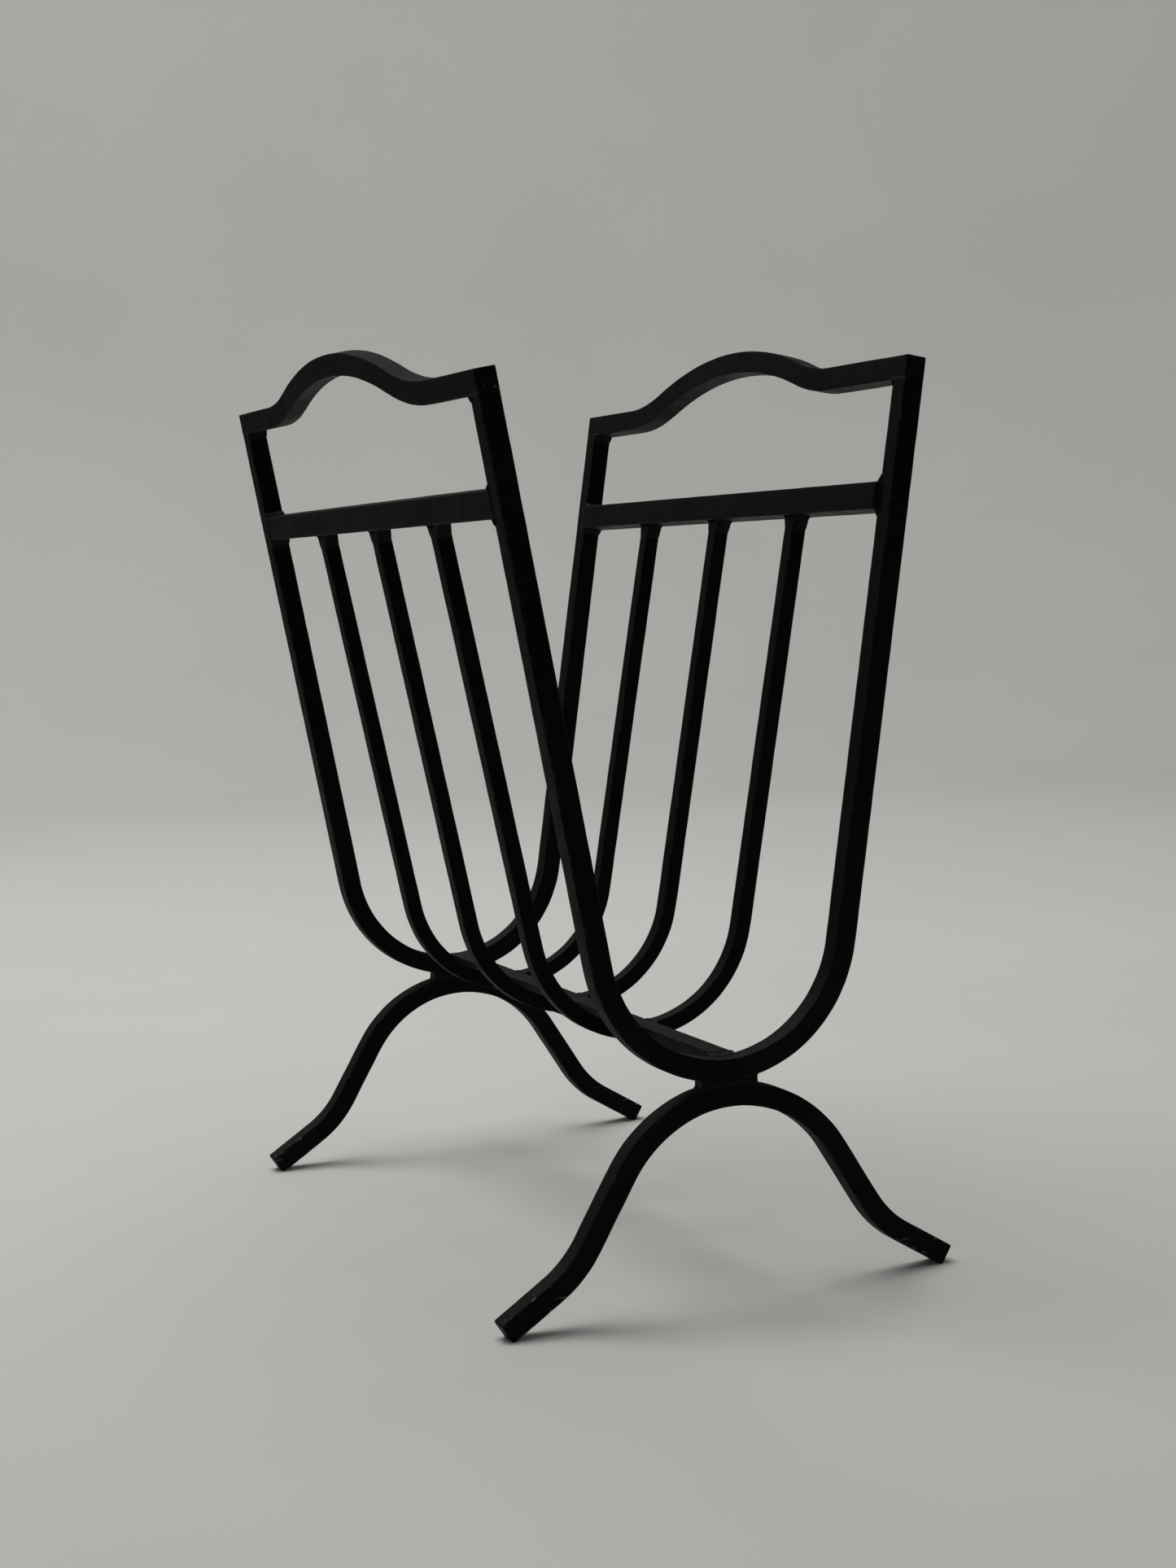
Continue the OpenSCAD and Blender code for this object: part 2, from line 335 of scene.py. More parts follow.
def lump_field(lumps):
    """Samples the melted lumps on a grid: the lowest corner, and the field, negative inside."""
    reach = 5 * MELT
    lo = np.min([np.array(m) - max(r) - reach for m, r, _ in lumps], axis=0)
    hi = np.max([np.array(m) + max(r) + reach for m, r, _ in lumps], axis=0)
    size = np.ceil((hi - lo) / CELL).astype(int) + 1
    total = np.full(size, 1e-12)
    for middle, radii, turn in lumps:
        middle, radii, turn = np.array(middle), np.array(radii), np.array(turn)
        first = np.floor((middle - radii.max() - reach - lo) / CELL).astype(int).clip(0)
        last = np.minimum(np.ceil((middle + radii.max() + reach - lo) / CELL).astype(int) + 1, size)
        axes = [lo[i] + CELL * np.arange(first[i], last[i]) - middle[i] for i in range(3)]
        local = np.stack(np.meshgrid(*axes, indexing="ij"), axis=-1) @ turn / radii
        near = np.sqrt((local**2).sum(-1)) + 1e-9
        away = near * (near - 1) / np.sqrt(((local / radii) ** 2).sum(-1) + 1e-12)
        total[tuple(slice(f, e) for f, e in zip(first, last))] += np.exp(-np.clip(away, -4, 6) / MELT)
    return lo, -MELT * np.log(total)


def skin(lo, field):
    """The zero surface of a field as points and quads: one point in each cell that it crosses."""
    cells = np.array(field.shape) - 1
    corner = {}
    for c in np.ndindex(2, 2, 2):
        corner[c] = field[tuple(slice(c[i], c[i] + cells[i]) for i in range(3))]
    place = np.zeros((*cells, 3))
    crossings = np.zeros(cells)
    for c in np.ndindex(2, 2, 2):
        for axis in range(3):
            if c[axis]:
                continue
            d = tuple(1 if i == axis else c[i] for i in range(3))
            crossed = (corner[c] < 0) != (corner[d] < 0)
            gap = np.where(crossed, corner[c] - corner[d], 1.0)
            point = np.zeros((*cells, 3)) + np.array(c)
            point[..., axis] = corner[c] / gap
            place += point * crossed[..., None]
            crossings += crossed
    used = crossings > 0
    index = np.full(cells, -1)
    index[used] = np.arange(used.sum())
    points = lo + CELL * (np.argwhere(used) + place[used] / crossings[used][:, None])
    quads = []
    for axis in range(3):
        u, v = (axis + 1) % 3, (axis + 2) % 3
        low = field[tuple(slice(0, -1) if i == axis else slice(None) for i in range(3))]
        high = field[tuple(slice(1, None) if i == axis else slice(None) for i in range(3))]
        for flip in (False, True):
            crossing = (low >= 0) & (high < 0) if flip else (low < 0) & (high >= 0)
            cell = np.argwhere(crossing)
            ring = []
            for du, dv in ((1, 1), (0, 1), (0, 0), (1, 0)):
                at = cell.copy()
                at[:, u] -= du
                at[:, v] -= dv
                ring.append(index[tuple(at.T)])
            quads.append(np.stack(ring[::-1] if flip else ring, axis=1))
    return points, np.concatenate(quads)


# noise_vector, which gives the welds their grain, is seeded by Blender from the clock.
# A fixed seed makes the welds the same in every run.
GRAIN_SEED = 1794918972
noise.seed_set(GRAIN_SEED)


def weld_mesh(name, welds, seed, grain=0.07):
    """One piece from several welds, each melted on its own, with a slightly grainy skin."""
    verts, faces = [], []
    for lumps in welds:
        points, quads = skin(*lump_field(lumps))
        faces += (quads + len(verts)).tolist()
        for point in points:
            p = Vector(point)
            p += noise.noise_vector(p / 1.6 + Vector((seed, 0, 0))) * grain
            p += noise.noise_vector(p / 0.6 + Vector((0, seed, 0))) * (grain * 0.45)
            verts.append(p * MM)
    return make_object(name, verts, faces, [WELD_WEAR] * len(verts))


def side_axes(side):
    """Directions of a side: outwards, along the rack, and up the leg."""
    out = Vector((side * math.cos(LEAN), 0.0, -math.sin(LEAN)))
    up = Vector((side * math.sin(LEAN), 0.0, math.cos(LEAN)))
    return out, Vector((0.0, 1.0, 0.0)), up


def turn_from(a, b, c):
    return Matrix((a, b, c)).transposed()


def fillet(start, line, long, wall_a, wall_b, reach_a, reach_b, dice, pitch=1.2):
    """Lumps that fill the corner between two walls, along the line where they meet.

    wall_a and wall_b point along the two walls, away from the corner.
    """
    lumps = []
    count = max(2, round(long / pitch))
    turn = turn_from(line, wall_a, wall_b)
    for i in range(count + 1):
        a = reach_a * dice.uniform(0.86, 1.14)
        b = reach_b * dice.uniform(0.86, 1.14)
        base = Vector(start) + line * (long * i / count)
        lumps.append((base + wall_a * a * 0.16 + wall_b * b * 0.16, (pitch, a * 0.55, b * 0.55), turn))
        lumps.append((base + wall_a * a * 0.55, (pitch, a * 0.42, b * 0.26), turn))
        lumps.append((base + wall_b * b * 0.55, (pitch, a * 0.26, b * 0.42), turn))
    return lumps


# ---------------------------------------------------------------- the steel


def build_frames():
    made = {}
    low = bend([0, 0, 0], FRAME_BEND, math.pi / 2 - LEAN)
    for name, end, seed in (("front_end_frame", -1, 11.3), ("rear_end_frame", 1, 27.9)):
        left = low + run(low[-1], LEG + LEG_EXTRA[-1, end] - LEG_SHORT)
        right = low + run(low[-1], LEG + LEG_EXTRA[1, end] - LEG_SHORT)
        line = whole(left, [0, 0, 0, 1 / FRAME_BEND], right)
        line = [[u, v + FRAME_BOTTOM + HALF, h, k] for u, v, h, k in line]
        made[name] = bar_mesh("bar_" + name, line, across(end * FRAME_Y), HALF, HALF, seed,
                              soft=(0.4, 0.4))
    return made


def build_arches():
    made = {}
    crown = bend([0, 0, 0], ARCH_CROWN, -ARCH_TURN)
    shank = run(crown[-1], SHANK)
    kick = bend(shank[-1], KICK, ARCH_TURN - FOOT_SLOPE)
    half = crown + shank + kick + run(kick[-1], FOOT, 1.6)
    line = whole(half, [0, 0, 0, -1 / ARCH_CROWN], half)
    line = [[u, v + ARCH_TOP - HALF, h, k] for u, v, h, k in line]
    for name, y, seed in (("front_foot_arch", -FRAME_Y, 41.7), ("rear_foot_arch", FRAME_Y, 53.1)):
        made[name] = bar_mesh("bar_" + name, line, across(y), HALF, HALF, seed, corner=0.55,
                              soft=(0.9, 0.9), floor=True, wave=0.08)
    return made


def build_inner_bars():
    made = {}
    start_u = HALF - INNER_SUNK
    start_angle = math.asin(start_u / INNER_BEND)
    start_v = SPINE_TOP - INNER / 2 + INNER_BEND * (1 - math.cos(start_angle))
    start = [start_u, start_v, start_angle, 1 / INNER_BEND]
    low = bend(start, INNER_BEND, math.pi / 2 - INNER_LEAN - start_angle)
    for side, side_name in ((-1, "left"), (1, "right")):
        for y, place_name in ((-PITCH, "front"), (0.0, "middle"), (PITCH, "rear")):
            name = f"{side_name}_bar_{place_name}"
            line = [start] + low + run(low[-1], INNER_REACH + rail_lift(side, y) + INNER_SUNK)
            made[name] = bar_mesh("bar_" + name, line, across_side(side, y), INNER / 2, INNER / 2,
                                  60 + side * 7 + y * 0.11, corner=0.4, soft=(0.0, 0.0))
    return made


def half_handle(rise, drop, reach, foot_r):
    """From the crown's top outwards: the crown, a reversed bend, and a flat that ends at the reach."""
    turn = math.acos(1 - drop / (CROWN + foot_r))
    crown = bend([0, rise, 0], CROWN, -turn)
    foot = bend(crown[-1], foot_r, turn)
    return crown + foot + run(foot[-1], reach - foot[-1][0])


def build_rails():
    made = {}
    for side, side_name in ((-1, "left"), (1, "right")):
        shift = CROWN_SHIFT[side]
        rise = HANDLE_RISE[side]
        front = half_handle(rise, rise - LEG_EXTRA[side, -1], LENGTH / 2 + shift, HANDLE_FOOT[side, -1])
        rear = half_handle(rise, rise - LEG_EXTRA[side, 1], LENGTH / 2 - shift, HANDLE_FOOT[side, 1])
        line = whole(front, [0, rise, 0, -1 / CROWN], rear)
        line = [[u + shift, v + LEG + HANDLE_DEPTH / 2, h, k] for u, v, h, k in line]
        name = side_name + "_handle_rail"
        made[name] = bar_mesh("bar_" + name, line, in_side(side), HANDLE_DEPTH / 2, HALF, 83 + 5 * side)
        slope = (rail_lift(side, CLEAR_Y) - rail_lift(side, -CLEAR_Y)) / (2 * CLEAR_Y)
        line = [[-CLEAR_Y - RAIL_SUNK, RAIL_UP + rail_lift(side, -CLEAR_Y), math.atan(slope), 0]]
        line += run(line[0], 2 * (CLEAR_Y + RAIL_SUNK))
        name = side_name + "_cross_rail"
        made[name] = bar_mesh("bar_" + name, line, in_side(side, RAIL_MID), RAIL_DEPTH / 2,
                              RAIL_THICK / 2, 97 + 4 * side, soft=(0.0, 0.0))
    return made


def build_spine():
    line = [[-CLEAR_Y - RAIL_SUNK, (SPINE_TOP + SPINE_BOTTOM) / 2, 0, 0]]
    line += run(line[0], 2 * (CLEAR_Y + RAIL_SUNK))
    return {"spine_bar": bar_mesh("bar_spine", line, lambda u, v, w: (w, u, v), HALF, HALF, 113.3,
                                  soft=(0.0, 0.0))}


# ---------------------------------------------------------------- the welds


def build_neck_welds():
    """The frame's bend stands just over the arch's crown, and metal fills the wedges between them."""
    made = {}
    level = Matrix.Identity(3)
    seam_z = (ARCH_TOP + FRAME_BOTTOM) / 2
    curve = (1 / (FRAME_BEND + HALF) + 1 / (ARCH_CROWN + HALF)) / 2
    tilt = (1 / (FRAME_BEND + HALF) - 1 / (ARCH_CROWN + HALF)) / 4
    reach = NECK_WIDTH / 2 - 0.9
    steps = 18
    for name, y, seed in (("front_neck_weld", -FRAME_Y, 5), ("rear_neck_weld", FRAME_Y, 6)):
        dice = random.Random(seed)
        face = math.copysign(1, y)
        lumps = []
        for i in range(steps + 1):
            x = -reach + 2 * reach * i / steps
            gap = FRAME_BOTTOM - ARCH_TOP + x * x * curve
            z = seam_z + x * x * tilt
            for j in range(6):
                deep = y - 3.5 + 1.4 * j
                lumps.append(((x, deep, z), (0.9, 1.15, gap / 2 + 0.45), level))
                for wall in (-1, 1):
                    wall_z = z + wall * (gap / 2 + 0.1)
                    lumps.append(((x * 1.05, deep, wall_z), (0.95, 1.1, 0.5), level))
            # The bead on the outer face is heavier on the left.
            heavy = 1.0 if x < 0 else 0.45
            tall = gap / 2 + 0.5 + heavy * dice.uniform(0.3, 1.5)
            middle = (x + dice.uniform(-0.4, 0.4), y + face * 3.4, z - heavy * dice.uniform(-0.2, 0.9))
            lumps.append((middle, (1.25, 0.75 + heavy * dice.uniform(0.05, 0.4), tall), level))
        # Spatter over the bead
        for _ in range(22):
            size = dice.uniform(0.4, 0.85)
            middle = (dice.uniform(-reach, 3), y + face * 3.96, seam_z + dice.uniform(-4.4, 3.2))
            lumps.append((middle, (size, 0.42, size * dice.uniform(0.8, 1.3)), level))
        made[name] = weld_mesh("weld_" + name, [lumps], seed)
    return made


def seam(side, depth, y, up_low, up_high, radii, wander, dice):
    """A bead that runs up the leg, across the joint between two bars that butt together."""
    out, along, up = side_axes(side)
    count = round((up_high - up_low) / 1.15)
    lumps = []
    for i in range(count + 1):
        middle = Vector(side_point(side, depth, y, up_low + (up_high - up_low) * i / count))
        middle += along * dice.uniform(-wander, wander)
        lumps.append((middle, [r * dice.uniform(0.9, 1.15) for r in radii], turn_from(out, along, up)))
    return lumps


def build_handle_welds():
    dice = random.Random(21)
    welds = []
    for side in (-1, 1):
        out, along, up = side_axes(side)
        for end in (-1, 1):
            top = LEG + LEG_EXTRA[side, end]
            corner = side_point(side, 0.9 - HALF, end * CLEAR_Y, top)
            lumps = fillet(corner, out, BAR - 1.8, along * -end, -up, 2.6, 3.4, dice)
            for face in (-1, 1):
                for i in range(9):
                    y = end * (CLEAR_Y + 0.8 + 1.05 * i)
                    middle = Vector(side_point(side, face * (HALF - 0.5), y, top))
                    middle += up * dice.uniform(-0.2, 0.2)
                    lumps.append((middle, (0.52, 0.8, dice.uniform(0.8, 1.1)), turn_from(out, along, up)))
            welds.append(lumps)
    return {"handle_welds": weld_mesh("weld_handles", welds, 22)}


def build_rail_welds():
    dice = random.Random(31)
    welds = []
    for side in (-1, 1):
        out, along, up = side_axes(side)
        for end in (-1, 1):
            y = end * CLEAR_Y
            under_z = RAIL_UNDER + rail_lift(side, y)
            over_z = RAIL_OVER + rail_lift(side, y)
            seam_low, seam_high = under_z + 0.8, over_z - 0.8
            over = side_point(side, 0.7 - HALF, y, over_z)
            large = 3.6 if (side, end) == (1, -1) else 2.3
            lumps = fillet(over, out, BAR - 1.4, along * -end, up, large, large, dice)
            lumps += seam(side, HALF - 0.35, y, seam_low, seam_high, (0.6, 1.2, 1.0), 0.2, dice)
            welds.append(lumps)
            under = side_point(side, 0.7 - HALF, y, under_z)
            sagging = 4.2 if (side, end) == (-1, 1) else 3.0
            lumps = fillet(under, out, BAR - 1.4, along * -end, -up, 2.6, sagging, dice)
            lumps += seam(side, 0.35 - HALF, y, seam_low, seam_high, (1.2, 1.3, 1.0), 0.2, dice)
            welds.append(lumps)
    return {"cross_rail_welds": weld_mesh("weld_cross_rails", welds, 32)}


def build_bar_top_welds():
    """Each inner bar is welded under its rail on two sides, with a flare that runs down the bar."""
    dice = random.Random(43)
    welds = []
    for side in (-1, 1):
        out, along, up = side_axes(side)
        turn = turn_from(out, along, up)
        for place in (-1, 0, 1):
            top = RAIL_UNDER + rail_lift(side, place * PITCH)
            for face in (-1, 1):
                lumps = []
                climb = dice.uniform(5.2, 7.0)
                spread = dice.uniform(1.9, 2.7)
                for step in range(8):
                    t = step / 7
                    wide = spread * (1 - t**1.5) + 0.35
                    for depth in (-2.4, -0.8, 0.8, 2.4):
                        y = place * PITCH + face * (INNER / 2 + 0.4 * wide - 0.35)
                        middle = side_point(side, RAIL_MID + depth, y, top - 0.2 - climb * t)
                        radii = (1.25, (0.5 * wide + 0.4) * dice.uniform(0.85, 1.15), 0.95)
                        lumps.append((middle, radii, turn))
                for depth in (-3.0, -1.0, 1.0, 3.0):
                    y = place * PITCH + face * (INNER / 2 + spread * 0.75)
                    middle = side_point(side, RAIL_MID + depth, y, top)
                    lumps.append((middle, (1.3, spread * 0.6, 0.6), turn))
                welds.append(lumps)
    return {"bar_top_welds": weld_mesh("weld_bar_tops", welds, 44)}


def build_bar_foot_welds():
    dice = random.Random(57)
    up = Vector((0.0, 0.0, 1.0))
    welds = []
    for side in (-1, 1):
        for place in (-1, 0, 1):
            for face in (-1, 1):
                corner = (side * HALF, place * PITCH + face * INNER / 2, SPINE_TOP - INNER + 1.0)
                bar_wall, spine_wall = Vector((side, 0, 0)), Vector((0, face, 0))
                welds.append(fillet(corner, up, INNER - 2.0, bar_wall, spine_wall, 2.5, 2.5, dice))
    return {"bar_foot_welds": weld_mesh("weld_bar_feet", welds, 58)}


def build_spine_welds():
    dice = random.Random(67)
    up = Vector((0.0, 0.0, 1.0))
    welds = []
    for end in (-1, 1):
        for side in (-1, 1):
            corner = (side * HALF, end * CLEAR_Y, SPINE_BOTTOM + 0.8)
            upright = FRAME_BOTTOM + BAR - SPINE_BOTTOM - 0.8
            frame_wall, spine_wall = Vector((side, 0, 0)), Vector((0, -end, 0))
            lumps = fillet(corner, up, upright, frame_wall, spine_wall, 2.5, 3.0, dice)
            # The spine stands proud of the frame, and metal fills the step.
            step = SPINE_TOP - FRAME_BOTTOM - BAR
            for i in range(6):
                for away, height in ((0.2, 0.62), (1.5, 0.34), (2.7, 0.12)):
                    z = FRAME_BOTTOM + BAR + step * (height - 0.3)
                    middle = (side * (0.5 + i), end * (CLEAR_Y + away), z)
                    radii = (0.95, dice.uniform(0.9, 1.2), step * 0.42)
                    lumps.append((middle, radii, Matrix.Identity(3)))
            welds.append(lumps)
    return {"spine_end_welds": weld_mesh("weld_spine_ends", welds, 68)}


# ---------------------------------------------------------------- materials


class Nodes:
    """Short names for building a node tree."""

    def __init__(self, material):
        self.tree = material.node_tree
        self.tree.nodes.clear()

    def add(self, kind, **inputs):
        node = self.tree.nodes.new(kind)
        for key, value in inputs.items():
            setattr(node, key, value)
        return node

    def link(self, out, into):
        self.tree.links.new(out, into)

    def feed(self, socket, value):
        if hasattr(value, "is_output"):
            self.link(value, socket)
        else:
            socket.default_value = value

    def math(self, operation, a, b=0.0, clamp=False):
        node = self.add("ShaderNodeMath", operation=operation, use_clamp=clamp)
        self.feed(node.inputs[0], a)
        self.feed(node.inputs[1], b)
        return node.outputs[0]

    def noise(self, where, scale, detail=3.0, rough_amount=0.5):
        node = self.add("ShaderNodeTexNoise")
        self.link(where, node.inputs["Vector"])
        node.inputs["Scale"].default_value = scale
        node.inputs["Detail"].default_value = detail
        node.inputs["Roughness"].default_value = rough_amount
        return node.outputs["Fac"]

    def ramp(self, value, low, high, out_low=0.0, out_high=1.0):
        node = self.add("ShaderNodeMapRange", interpolation_type="SMOOTHSTEP")
        self.feed(node.inputs["Value"], value)
        node.inputs["From Min"].default_value = low
        node.inputs["From Max"].default_value = high
        node.inputs["To Min"].default_value = out_low
        node.inputs["To Max"].default_value = out_high
        return node.outputs[0]

    def mix(self, amount, a, b):
        node = self.add("ShaderNodeMix", data_type="RGBA")
        self.feed(node.inputs[0], amount)
        self.feed(node.inputs[6], a)
        self.feed(node.inputs[7], b)
        return node.outputs[2]


DEEP_BLACK = (0.0018, 0.0020, 0.0027, 1)
PALE_BLACK = (0.0034, 0.0036, 0.0043, 1)
GRIT = (0.009, 0.009, 0.0095, 1)
# Dust on the tops, pale enough to be partly painted light from above
DUST_AND_TOP_LIGHT = (0.060, 0.057, 0.050, 1)
RUBBED = (0.034, 0.034, 0.035, 1)
PRIMER = (0.20, 0.195, 0.18, 1)


def paint(name, grain, lumpy, sheen):
    """Satin black paint: dusty and painted lighter on top, rubbed along the edges, and chipped where racks
    get knocked.

    grain is the strength of the bump, lumpy the share of its coarse lumps, and sheen the gloss.
    """
    material = bpy.data.materials.new(name)
    material.use_nodes = True
    n = Nodes(material)
    where = n.add("ShaderNodeTexCoord").outputs["Object"]
    edge = n.add("ShaderNodeAttribute", attribute_name="edge").outputs["Fac"]
    facing = n.add("ShaderNodeSeparateXYZ")
    n.link(n.add("ShaderNodeNewGeometry").outputs["Normal"], facing.inputs[0])
    place = n.add("ShaderNodeSeparateXYZ")
    n.link(where, place.inputs[0])

    broad = n.noise(where, 28.0, 4.0)
    patchy = n.noise(where, 95.0, 5.0, 0.6)
    fine = n.noise(where, 620.0, 3.0, 0.6)
    speck = n.noise(where, 1500.0, 2.0)

    base = n.mix(n.ramp(broad, 0.35, 0.65), DEEP_BLACK, PALE_BLACK)
    base = n.mix(n.ramp(fine, 0.4, 0.75, 0.0, 0.3), base, GRIT)

    # A film of dust lies on what faces up. It is also painted light: the tops are painted lighter, as if
    # lit from above.
    upward_dust_and_light = n.ramp(facing.outputs["Z"], 0.3, 0.95)
    dust_and_top_light = n.math("MULTIPLY", upward_dust_and_light, n.ramp(patchy, 0.3, 0.7, 0.35, 1.0))
    base = n.mix(n.math("MULTIPLY", dust_and_top_light, 0.32), base, DUST_AND_TOP_LIGHT)

    # The paint is rubbed thin along the edges.
    rub = n.math("MULTIPLY", n.ramp(edge, 0.45, 1.0), n.ramp(patchy, 0.46, 0.64), clamp=True)
    base = n.mix(n.math("MULTIPLY", rub, 0.36), base, RUBBED)

    # Feet and the ends of the handles take the knocks, and their edges chip down to pale primer.
    low = n.ramp(place.outputs["Z"], FOOT_WEAR_TOP * 0.6 * MM, FOOT_WEAR_TOP * MM, 1.0, 0.0)
    far = n.ramp(n.math("ABSOLUTE", place.outputs["Y"]), (CLEAR_Y - 8) * MM, CLEAR_Y * MM)
    high = n.ramp(place.outputs["Z"], (HANDLE_FOOT_Z - 4) * MM, (HANDLE_FOOT_Z + 1) * MM)
    knocked = n.math("MAXIMUM", low, n.math("MULTIPLY", far, high))
    torn = n.noise(where, 330.0, 5.0, 0.7)
    knocked_off = n.math("MULTIPLY", knocked, n.ramp(torn, 0.585, 0.61))
    chip = n.math("MULTIPLY", n.ramp(edge, 0.5, 0.95), knocked_off)
    nicked = n.noise(where, 190.0, 5.0, 0.7)
    nick = n.math("MULTIPLY", n.ramp(edge, 0.8, 1.0), n.ramp(nicked, 0.715, 0.73))
    flaked = n.noise(where, 150.0, 6.0, 0.75)
    flake = n.math("MULTIPLY", low, n.ramp(flaked, 0.665, 0.675))
    streak = n.add("ShaderNodeMapping")
    n.link(where, streak.inputs["Vector"])
    streak.inputs["Rotation"].default_value = (0.0, math.radians(28.0), 0.0)
    streak.inputs["Scale"].default_value = (0.12, 1.0, 1.6)
    scratch = n.math("MULTIPLY", low, n.ramp(n.noise(streak.outputs[0], 520.0, 2.0), 0.70, 0.73))
    bare = n.math("MAXIMUM", n.math("MAXIMUM", chip, flake), n.math("MAXIMUM", nick, scratch), clamp=True)
    base = n.mix(n.math("MULTIPLY", bare, 0.8), base, PRIMER)

    shine = n.ramp(patchy, 0.3, 0.7, 0.50, 0.62)
    shine = n.math("ADD", shine, n.math("MULTIPLY", n.math("SUBTRACT", fine, 0.5), 0.12))
    shine = n.math("SUBTRACT", shine, n.math("MULTIPLY", rub, 0.10))
    shine = n.math("ADD", shine, n.math("MULTIPLY", dust_and_top_light, 0.16), clamp=True)

    height = n.math("ADD", n.math("MULTIPLY", fine, 0.55), n.math("MULTIPLY", speck, 0.2))
    height = n.math("ADD", height, n.math("MULTIPLY", patchy, lumpy))
    height = n.math("SUBTRACT", height, n.math("MULTIPLY", bare, 0.9))
    bump = n.add("ShaderNodeBump")
    bump.inputs["Strength"].default_value = grain
    bump.inputs["Distance"].default_value = 0.12 * MM
    n.link(height, bump.inputs["Height"])

    shader = n.add("ShaderNodeBsdfPrincipled")
    n.link(base, shader.inputs["Base Color"])
    n.link(shine, shader.inputs["Roughness"])
    n.link(bump.outputs[0], shader.inputs["Normal"])
    shader.inputs["Specular IOR Level"].default_value = sheen
    n.link(shader.outputs[0], n.add("ShaderNodeOutputMaterial").inputs["Surface"])
    return material


PALE_FLOOR = (0.70, 0.69, 0.67, 1)
PALER_FLOOR = (0.72, 0.71, 0.69, 1)
PAINTED_SHADE_FLOOR = (0.15, 0.15, 0.15, 1)


def stage_material():
    """Pale floor and wall with painted shade to the left and in front, which keeps the near faces black."""
    material = bpy.data.materials.new("studio_sweep")
    material.use_nodes = True
    n = Nodes(material)
    where = n.add("ShaderNodeTexCoord").outputs["Object"]
    place = n.add("ShaderNodeSeparateXYZ")
    n.link(where, place.inputs[0])
    tone = n.mix(n.ramp(n.noise(where, 3.0, 3.0), 0.3, 0.7), PALE_FLOOR, PALER_FLOOR)
    x, y = place.outputs["X"], place.outputs["Y"]
    # Painted shade: the floor and wall darken towards the left and in front, standing in for the unlit side
    # of a room
    left = n.math("ADD", n.math("MULTIPLY", x, -0.98), n.math("MULTIPLY", y, 0.18))
    painted_shade = n.math("MAXIMUM", n.ramp(left, 0.32, 1.1), n.ramp(y, -1.8, -0.7, 1.0, 0.0))
    tone = n.mix(n.math("MULTIPLY", painted_shade, 0.85), tone, PAINTED_SHADE_FLOOR)
    shader = n.add("ShaderNodeBsdfPrincipled")
    n.link(tone, shader.inputs["Base Color"])
    shader.inputs["Roughness"].default_value = 0.8
    n.link(shader.outputs[0], n.add("ShaderNodeOutputMaterial").inputs["Surface"])
    return material


# ---------------------------------------------------------------- the studio, in metres

STAGE_RADIUS = 3.0
STAGE_SWEEP = 0.8
STAGE_HEIGHT = 3.2


def build_stage():
    """A round pale floor that sweeps up into a wall on every side."""
    flat = STAGE_RADIUS - STAGE_SWEEP
    flat_steps, sweep_steps = 6, 16
    section = [(flat * (i / flat_steps), 0.0) for i in range(1, flat_steps + 1)]
    for i in range(1, sweep_steps + 1):
        a = math.pi / 2 * i / sweep_steps
        section.append((flat + STAGE_SWEEP * math.sin(a), STAGE_SWEEP * (1 - math.cos(a))))
    section.append((STAGE_RADIUS, STAGE_HEIGHT))
    around = 96
    verts = [(0.0, 0.0, 0.0)]
    for r, z in section:
        for j in range(around):
            a = 2 * math.pi * j / around
            verts.append((r * math.cos(a), r * math.sin(a), z))
    faces = []
    for j in range(around):
        k = (j + 1) % around
        faces.append((0, 1 + j, 1 + k))
        for i in range(len(section) - 1):
            a, b = 1 + i * around, 1 + (i + 1) * around
            faces.append((a + j, b + j, b + k, a + k))
    mesh = bpy.data.meshes.new("floor_sweep")
    mesh.from_pydata(verts, [], faces)
    mesh.polygons.foreach_set("use_smooth", [True] * len(mesh.polygons))
    mesh.update()
    floor = bpy.data.objects.new("floor_sweep", mesh)
    bpy.context.scene.collection.objects.link(floor)
    mesh.materials.append(stage_material())


def soft_light(name, place, aim, size, power, colour):
    light = bpy.data.lights.new(name, "AREA")
    light.shape = "RECTANGLE"
    light.size, light.size_y = size
    light.energy = power
    light.color = colour
    lamp = bpy.data.objects.new(name, light)
    bpy.context.scene.collection.objects.link(lamp)
    lamp.location = place
    lamp.rotation_euler = (Vector(aim) - Vector(place)).to_track_quat("-Z", "Y").to_euler()


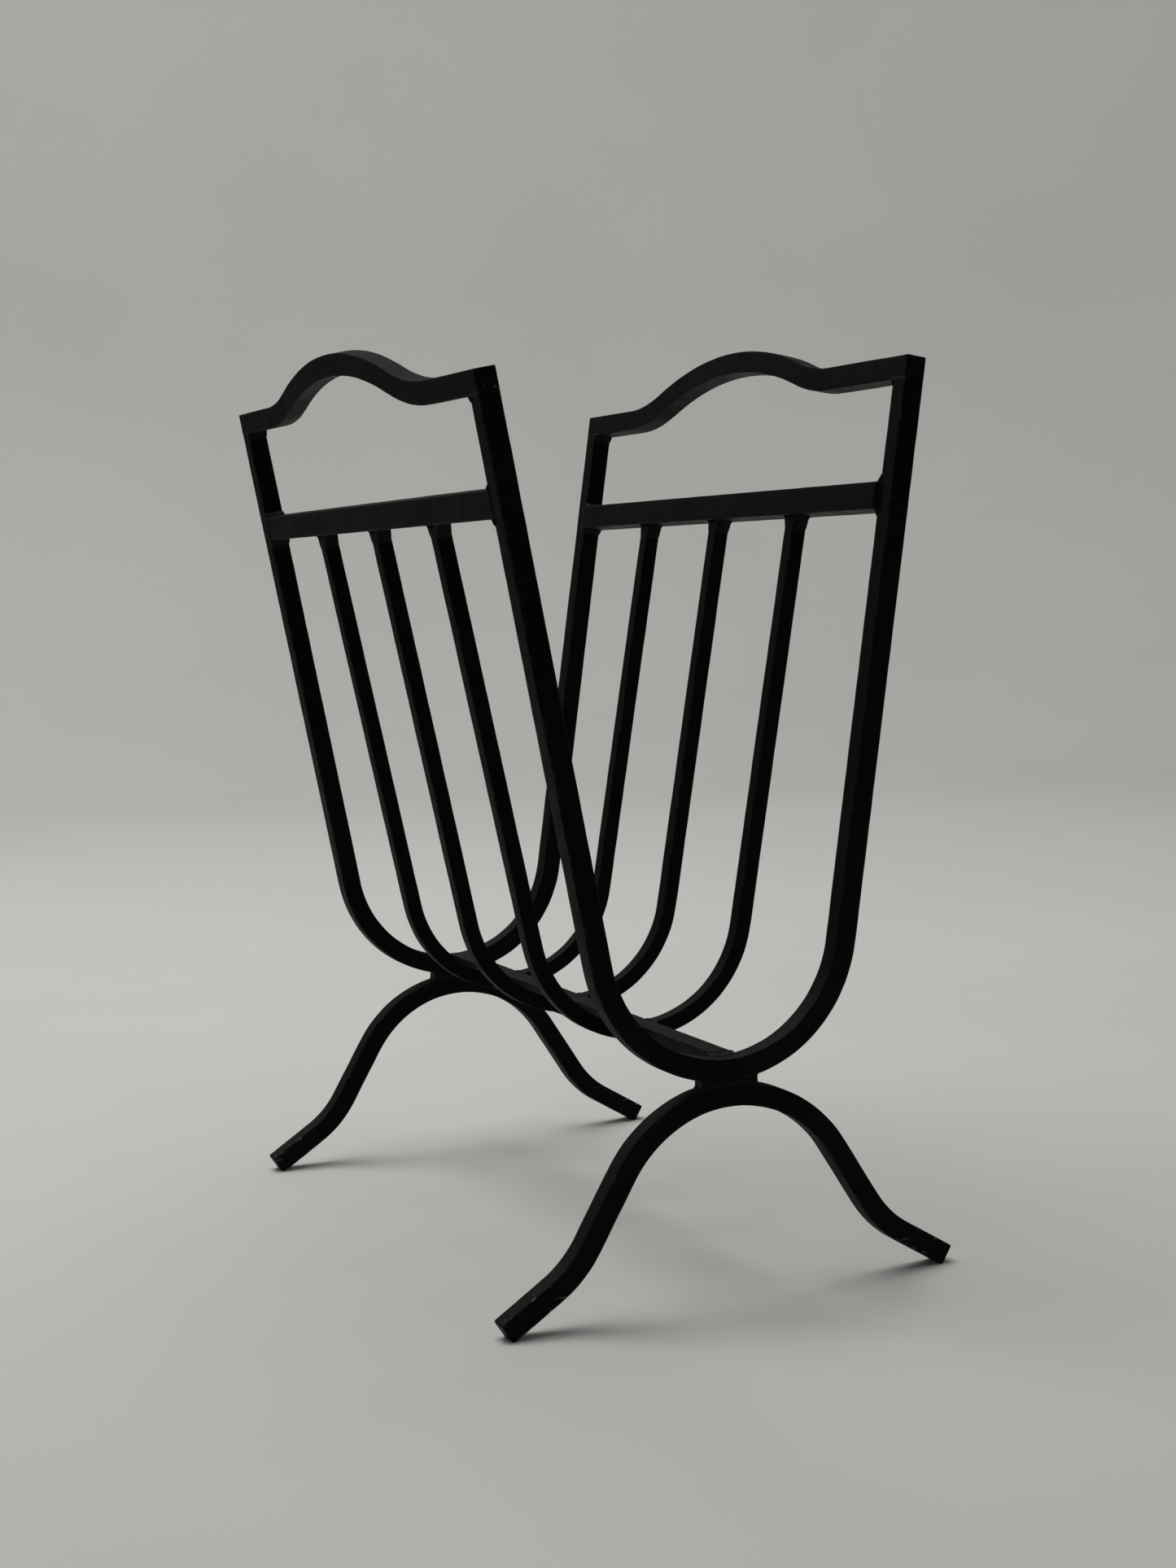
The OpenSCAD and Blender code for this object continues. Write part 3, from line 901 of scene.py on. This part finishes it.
def build_lights():
    soft_light("overhead_soft", place=(-0.3, 0.7, 2.6), aim=(0.1, 1.0, 0.2), size=(2.2, 1.8),
               power=50.0, colour=(1.0, 0.99, 0.97))
    soft_light("left_soft", place=(-1.6, 1.9, 1.5), aim=(0.2, 0.3, 0.3), size=(1.2, 1.2),
               power=4.0, colour=(0.95, 0.98, 1.0))
    world = bpy.data.worlds.new("studio_world")
    bpy.context.scene.world = world
    world.use_nodes = True
    background = world.node_tree.nodes["Background"]
    background.inputs["Color"].default_value = (0.92, 0.96, 1.0, 1)
    background.inputs["Strength"].default_value = 0.12


# Where the viewer stands, in metres, which way they look and how far the camera leans, in
# degrees, and the lens, in millimetres.
STANDING = (-0.475, -1.073, 0.333)
HEADING = 24.45
LOOKING_DOWN = 5.5
CAMERA_ROLL = 2.05
LENS = 53.64


def build_camera():
    camera = bpy.data.cameras.new("camera")
    camera.sensor_width = 36.0
    camera.lens = LENS
    holder = bpy.data.objects.new("camera", camera)
    bpy.context.scene.collection.objects.link(holder)
    turn = Matrix.Rotation(math.radians(-HEADING), 4, "Z")
    turn @= Matrix.Rotation(math.radians(90 - LOOKING_DOWN), 4, "X")
    turn @= Matrix.Rotation(math.radians(-CAMERA_ROLL), 4, "Z")
    holder.matrix_world = Matrix.Translation(STANDING) @ turn
    bpy.context.scene.camera = holder


build_camera()
build_stage()
build_lights()

bars = {}
for build in (build_frames, build_arches, build_inner_bars, build_rails, build_spine):
    bars.update(build())
welds = {}
for build in (build_neck_welds, build_handle_welds, build_rail_welds, build_bar_top_welds,
              build_bar_foot_welds, build_spine_welds):
    welds.update(build())

bar_paint = paint("black_paint_on_bar", grain=0.55, lumpy=0.5, sheen=0.06)
weld_paint = paint("black_paint_on_weld", grain=0.8, lumpy=1.2, sheen=0.10)
for pieces, material, slot in ((bars, bar_paint, "painted_bar"), (welds, weld_paint, "weld_metal")):
    for node, piece in pieces.items():
        piece.data.materials.append(material)
        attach(piece, "root")
        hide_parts(node)

bpy.context.scene.view_settings.view_transform = "Standard"
